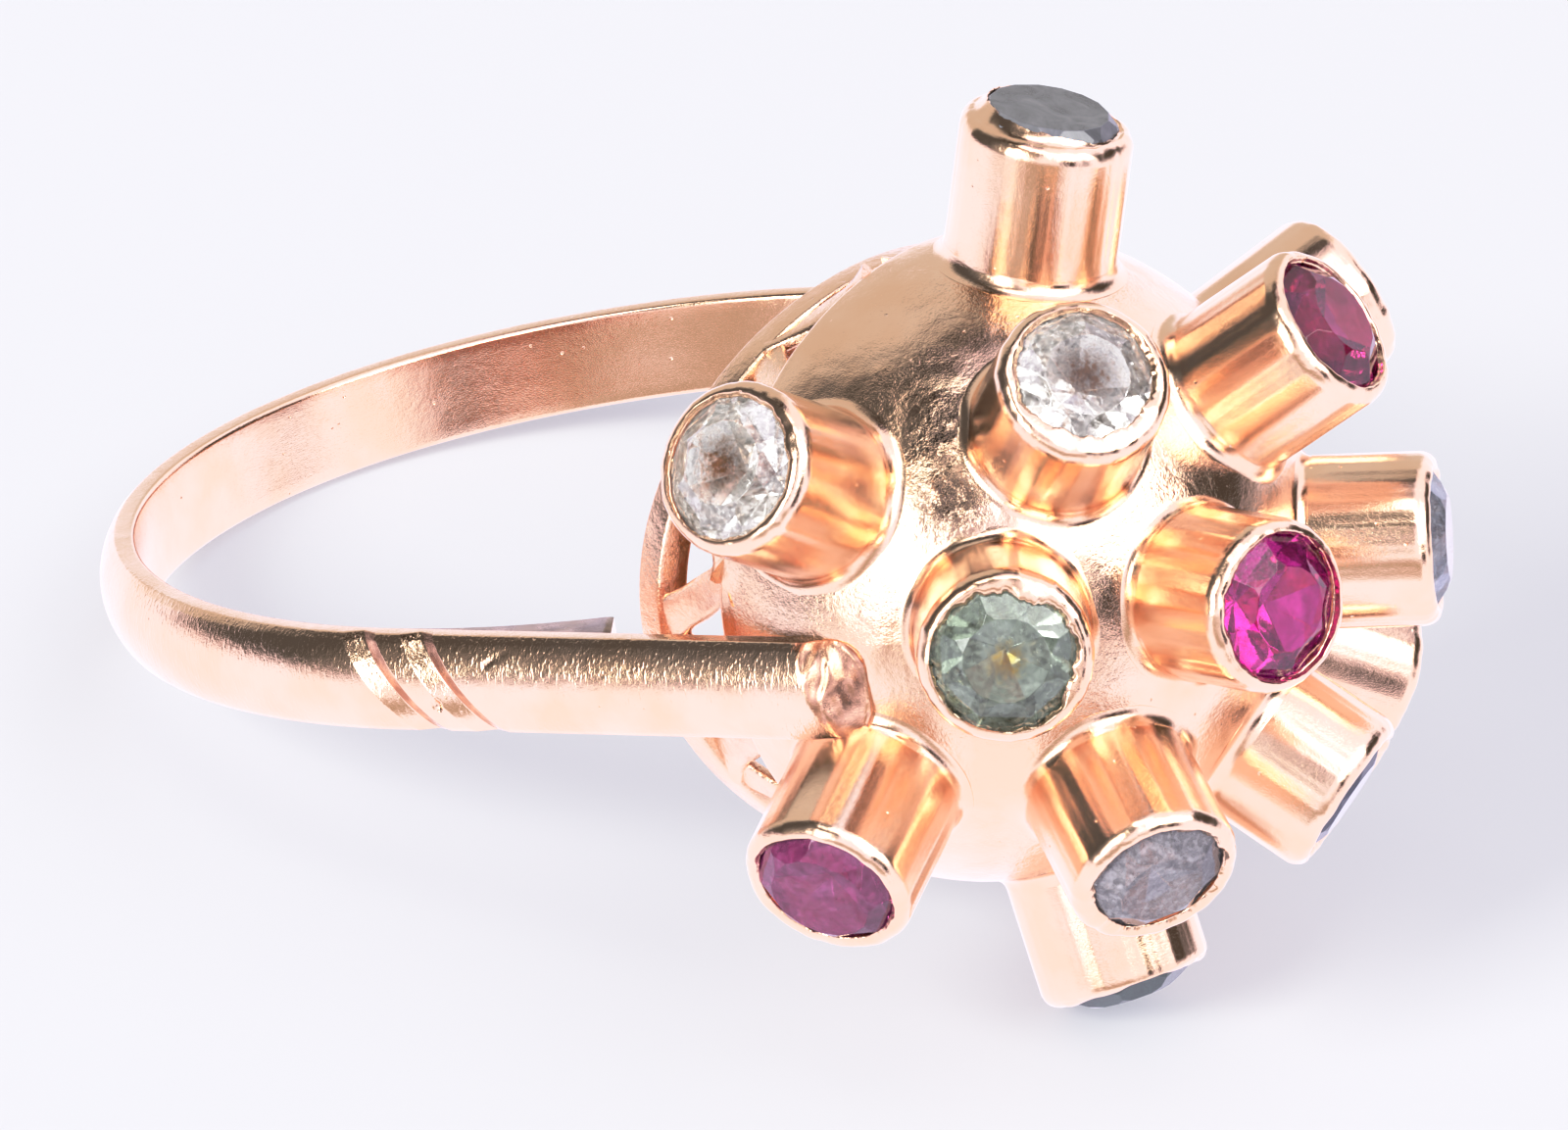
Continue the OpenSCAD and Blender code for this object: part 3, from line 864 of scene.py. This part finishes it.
def rounded_box(x_low, x_high, y_low, y_high, r, steps=5):
    """The outline of a box with rounded corners, as points (x, y)."""
    corners = ((x_high - r, y_high - r, 0), (x_low + r, y_high - r, 90), (x_low + r, y_low + r, 180),
               (x_high - r, y_low + r, 270))
    return [point for x, y, start in corners for point in arc((x, y), r, start, start + 90, steps)]


def make_strip():
    """A flat strip bent round under the head, its finger side curved to the finger."""
    segments = 240
    section = rounded_box(0, STRIP_H, GALLERY_R - STRIP_T, GALLERY_R, 0.07)
    points = []
    for j in range(segments):
        turn = TAU * j / segments
        c, s = math.cos(turn), math.sin(turn)
        for x, r in section:
            rr = r + 0.012 * wobble(c * 3, s * 3, x)
            bend = strip_x(rr * c) + 0.015 * wobble(c * 2, s * 2, 5)
            points.append(Vector((bend + x, rr * c, rr * s - GALLERY_DROP)))
    faces = grid(segments, len(section), close_rows=True, close_columns=True)
    return piece("gallery_strip", points, faces, GOLD_CAST, sharp=40)


def make_struts():
    """V struts between the strip and the dome: twisted ribbons that spread into solder at both ends."""
    chance = random.Random(7)
    points, faces = [], []
    step = TAU / STRUT_VS
    ring, rows = 20, 18
    for i in range(STRUT_VS):
        for lean in (-1, 1):
            foot = (i + (0 if lean < 0 else 1)) * step - lean * 0.05 * step
            top = (i + 0.5) * step + lean * 0.05 * step
            r = GALLERY_R - STRIP_T / 2 - 0.02
            y = r * math.cos(foot)
            a = Vector((strip_x(y) + STRIP_H / 2, y, r * math.sin(foot) - GALLERY_DROP))
            r = DOME_R - DOME_T
            b = Vector((DOME_X - DOME_SKIRT + STRUT_R, r * math.cos(top), r * math.sin(top)))
            axis = (b - a).normalized()
            middle = (foot + top) / 2
            out = Vector((0, math.cos(middle), math.sin(middle)))
            side = axis.cross(out).normalized()
            out = side.cross(axis)
            twist = chance.uniform(-0.5, 0.5)
            seed = chance.uniform(0, 40)
            first = len(points)
            for k in range(rows):
                t = k / (rows - 1)
                spread = 1 + 0.55 * max(0, 1 - t / 0.3) ** 2 + 0.75 * max(0, 1 - (1 - t) / 0.3) ** 2
                turn = twist * (t - 0.5) * 2
                u = side * math.cos(turn) + out * math.sin(turn)
                v = out * math.cos(turn) - side * math.sin(turn)
                for j in range(ring):
                    w = TAU * j / ring
                    c, q = math.cos(w), math.sin(w)
                    bulge = (abs(c) ** 3 + abs(q) ** 3) ** (-1 / 3)
                    dent = 1 + 0.16 * wobble(c * 1.3, q * 1.3, t * 3, seed)
                    wide = RIBBON_W / 2 * spread * bulge * dent
                    thick = RIBBON_T / 2 * (0.6 + 0.4 * spread) * bulge * dent
                    points.append(a.lerp(b, t) + u * wide * c + v * thick * q)
            ribbon = grid(rows, ring, close_columns=True) + end_caps(rows, ring)
            faces += [tuple(first + k for k in face) for face in ribbon]
    return piece("gallery_struts", points, faces, GOLD_CAST, sharp=50)


shank = make_shank()
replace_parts(shank, "ring_mount")
for side in (-1, 1):
    make_finger_wall(side)
make_dome()
make_strip()
make_struts()

# what each stone looks like, and the slot that it takes
RUBY = dict(colour=(0.4, 0.006, 0.17), second=(0.66, 0.05, 0.4), transmission=0.96, roughness=0.02,
            cloud=0.2)
CRIMSON = dict(colour=(0.3, 0.008, 0.09), second=(0.5, 0.05, 0.24), transmission=0.95, roughness=0.02,
               cloud=0.2)
CLEAR = dict(colour=(0.8, 0.79, 0.76), second=(0.55, 0.53, 0.5), transmission=0.95, roughness=0.03,
             cloud=0.4, ior=1.75, heart=(0.13, 0.06, 0.025), heart_r=0.5)
SAGE = dict(colour=(0.2, 0.24, 0.19), second=(0.36, 0.41, 0.34), transmission=0.94, roughness=0.04,
            cloud=0.35, heart=(0.26, 0.18, 0.03), heart_r=0.3)
SLATE = dict(colour=(0.26, 0.25, 0.27), second=(0.5, 0.48, 0.5), transmission=0.8, roughness=0.05,
             cloud=0.5)
NAVY = dict(colour=(0.02, 0.03, 0.07), second=(0.05, 0.06, 0.12), transmission=0.4, roughness=0.04,
            cloud=0.4)
GREY = dict(colour=(0.1, 0.1, 0.108), second=(0.17, 0.17, 0.18), transmission=0.15, roughness=0.12,
            cloud=0.4)
PALE = dict(colour=(0.42, 0.46, 0.54), second=(0.6, 0.62, 0.66), transmission=0.85, roughness=0.05,
            cloud=0.4)
PURPLE = dict(colour=(0.25, 0.02, 0.12), second=(0.36, 0.11, 0.26), transmission=0.75, roughness=0.05,
              cloud=0.35)
GREEN = dict(colour=(0.02, 0.05, 0.045), second=(0.05, 0.1, 0.09), transmission=0.4, roughness=0.05,
             cloud=0.4)
STONE_LOOK = {
    "centre": (RUBY, "ruby"), "inner_1": (CLEAR, "colourless"), "inner_2": (SAGE, "sage_green"),
    "inner_3": (SLATE, "slate_grey"), "inner_4": (NAVY, "dark_blue"), "inner_5": (PALE, "pale_blue"),
    "inner_6": (CRIMSON, "ruby"), "outer_1": (GREY, "dark_blue"), "outer_2": (CLEAR, "colourless"),
    "outer_3": (PURPLE, "purple_ruby"), "outer_4": (GREEN, "dark_green"), "outer_5": (NAVY, "dark_blue"),
    "outer_6": (SAGE, "sage_green"),
}
for index, (name, lean, turn, rim, crown) in enumerate(STONES):
    look, slot = STONE_LOOK[name]
    place = toward(lean, turn)
    centre = place @ Vector((0, 0, rim))
    axis = place.to_3x3() @ Vector((0, 0, 1))
    material = stone_material(slot + "_" + name, centre, axis, **look)
    make_collet(index, name, lean, turn, rim, crown)
    make_stone(index, name, lean, turn, rim, crown, material)


# The plain setting: floor, studio light and camera

def make_floor():
    """A white floor that glows a little and that the metal doesn't mirror."""
    mesh = bpy.data.meshes.new("floor")
    size = 2.0
    corners = [(-size, -size, 0), (size, -size, 0), (size, size, 0), (-size, size, 0)]
    mesh.from_pydata(corners, [], [(0, 1, 2, 3)])
    floor = bpy.data.objects.new("floor", mesh)
    mat, tree, shader = new_material("floor_white")
    tree.feed(shader["Base Color"], (0.2, 0.2, 0.205, 1))
    tree.feed(shader["Roughness"], 0.9)
    tree.feed(shader["Specular IOR Level"], 0)
    tree.feed(shader["Emission Color"], (0.955, 0.955, 1.05, 1))
    tree.feed(shader["Emission Strength"], 0.49)
    mesh.materials.append(mat)
    scene.collection.objects.link(floor)
    floor.visible_glossy = False
    return floor


def direction(azimuth, elevation):
    """A direction from the ring, azimuth 0 towards -Y and 90 towards +X."""
    a, e = math.radians(azimuth), math.radians(elevation)
    return Vector((math.sin(a) * math.cos(e), -math.cos(a) * math.cos(e), math.sin(e)))


CAMERA_AZIMUTH = 47.18
CAMERA_ELEVATION = 30.88
CAMERA_ROLL = 5.76
CAMERA_DISTANCE = 0.265
CAMERA_AIM = Vector((-1.5, 1.4, 3.22)) * MM
CAMERA_SENSOR = 36
CAMERA_LENS = 343.5


def make_camera():
    """The photo's camera: a long lens, rolled slightly."""
    camera = bpy.data.objects.new("camera", bpy.data.cameras.new("camera"))
    scene.collection.objects.link(camera)
    back = direction(CAMERA_AZIMUTH, CAMERA_ELEVATION)
    level = Vector((0, 0, 1)).cross(back).normalized()
    up = back.cross(level)
    roll = math.radians(CAMERA_ROLL)
    right = level * math.cos(roll) + up * math.sin(roll)
    up = back.cross(right)
    turn = Matrix((right, up, back)).transposed().to_4x4()
    camera.matrix_world = Matrix.Translation(CAMERA_AIM + back * CAMERA_DISTANCE) @ turn
    camera.data.sensor_width = CAMERA_SENSOR
    camera.data.lens = CAMERA_LENS
    camera.data.clip_start = 0.01
    camera.data.clip_end = 10
    scene.camera = camera
    return camera


# what the metal mirrors: azimuth and elevation, each from and to, softness in degrees, power, colour
ROOM = [
    (18, 75, -22, 2, 3, 0.6, (1.0, 0.86, 0.76)),
    (-145, -62, 2, 57, 2, 0.72, (1.0, 0.97, 0.94)),
    (-69, -2, -6, 72, 2, 0.13, (1.0, 0.96, 0.97)),
    (-24, -1, -8, 62, 4, 0.34, (1.0, 0.98, 1.0)),
    (-135, -24, 57, 76, 2, 0.07, (1.0, 0.84, 0.74)),
    (-10, 45, 43, 62, 2, 0.2, (1.0, 0.94, 0.88)),
    (16, 36, 24, 45, 2, 0.4, (1.0, 0.94, 0.88)),
    (78, 101, -2, 28, 2, 0.08, (1.0, 0.84, 0.74)),
    (131, 190, 2, 36, 2, 0.1, (1.0, 0.88, 0.8)),
    (-3, 19, 3, 46, 2, 5.0, (1.0, 1.0, 1.0)),
    (-25, 75, 63, 79, 3, 3.5, (1.0, 1.0, 1.0)),
    (66, 132, 29, 62, 2, 4.0, (1.0, 1.0, 1.0)),
]
ROOM_BASE = (1.2, 1.13, 1.36)


def make_world():
    """The studio that the metal mirrors: a pale tent with lamps and dark gaps between them."""
    world = bpy.data.worlds.new("studio")
    scene.world = world
    world.use_nodes = True
    tree = Tree(world.node_tree)
    place = tree.add("TexCoord").outputs["Generated"]
    ragged = tree.add("TexNoise", Vector=place, Scale=6, Detail=3, Roughness=0.6).outputs["Color"]
    parts = tree.add("SeparateXYZ", Vector=place).outputs
    blur = tree.add("SeparateXYZ", Vector=ragged).outputs

    def with_ragged_edges(angle, source, reach):
        return tree.math("MULTIPLY_ADD", tree.math("SUBTRACT", source, 0.5), reach, angle)

    turn = tree.math("ARCTAN2", parts["X"], tree.math("MULTIPLY", parts["Y"], -1))
    azimuth = with_ragged_edges(tree.math("DEGREES", turn), blur["X"], 10)
    rise = tree.math("ARCSINE", parts["Z"])
    elevation = with_ragged_edges(tree.math("DEGREES", rise), blur["Y"], 8)

    def step(source, edge, soft):
        node = tree.add("MapRange", Value=source, From_Min=edge - soft, From_Max=edge + soft)
        node.interpolation_type = "SMOOTHSTEP"
        return node.outputs["Result"]

    last = ROOM_BASE
    for az_from, az_to, el_from, el_to, soft, power, tint in ROOM:
        inside = tree.math("MULTIPLY", step(azimuth, az_from, soft), step(azimuth, az_to, -soft))
        inside = tree.math("MULTIPLY", inside, step(elevation, el_from, soft))
        inside = tree.math("MULTIPLY", inside, step(elevation, el_to, -soft))
        last = tree.blend(inside, last, tuple(power * c for c in tint))
    background = tree.nodes["Background"].inputs
    tree.feed(background["Color"], last)
    tree.feed(background["Strength"], 1.0)
    world.cycles.sampling_method = "NONE"


LAMP_DISTANCE = 1.5


def make_lamp(name, azimuth, elevation, width, height, power):
    """A soft lamp aimed at the ring, which casts its shadow but isn't mirrored."""
    lamp = bpy.data.lights.new(name, "AREA")
    lamp.shape = "RECTANGLE"
    lamp.size, lamp.size_y = width, height
    lamp.energy = power
    obj = bpy.data.objects.new(name, lamp)
    scene.collection.objects.link(obj)
    back = direction(azimuth, elevation)
    obj.location = back * LAMP_DISTANCE
    obj.rotation_mode = "QUATERNION"
    obj.rotation_quaternion = back.to_track_quat("Z", "Y")
    obj.visible_glossy = False
    return obj


make_floor()
make_camera()
make_world()
make_lamp("key", 6, 30, 0.5, 0.5, 40)
scene.view_settings.view_transform = "Standard"
scene.view_settings.use_curve_mapping = True
# the camera's tone: points that the brightness curve runs through
TONE = ((0.08, 0.06), (0.25, 0.19), (0.5, 0.46), (0.75, 0.79))
curve = scene.view_settings.curve_mapping.curves[3]
for x, y in TONE:
    curve.points.new(x, y)
scene.view_settings.curve_mapping.update()
scene.cycles.use_denoising = True
scene.cycles.max_bounces = 12
scene.cycles.glossy_bounces = 5
scene.cycles.transmission_bounces = 10
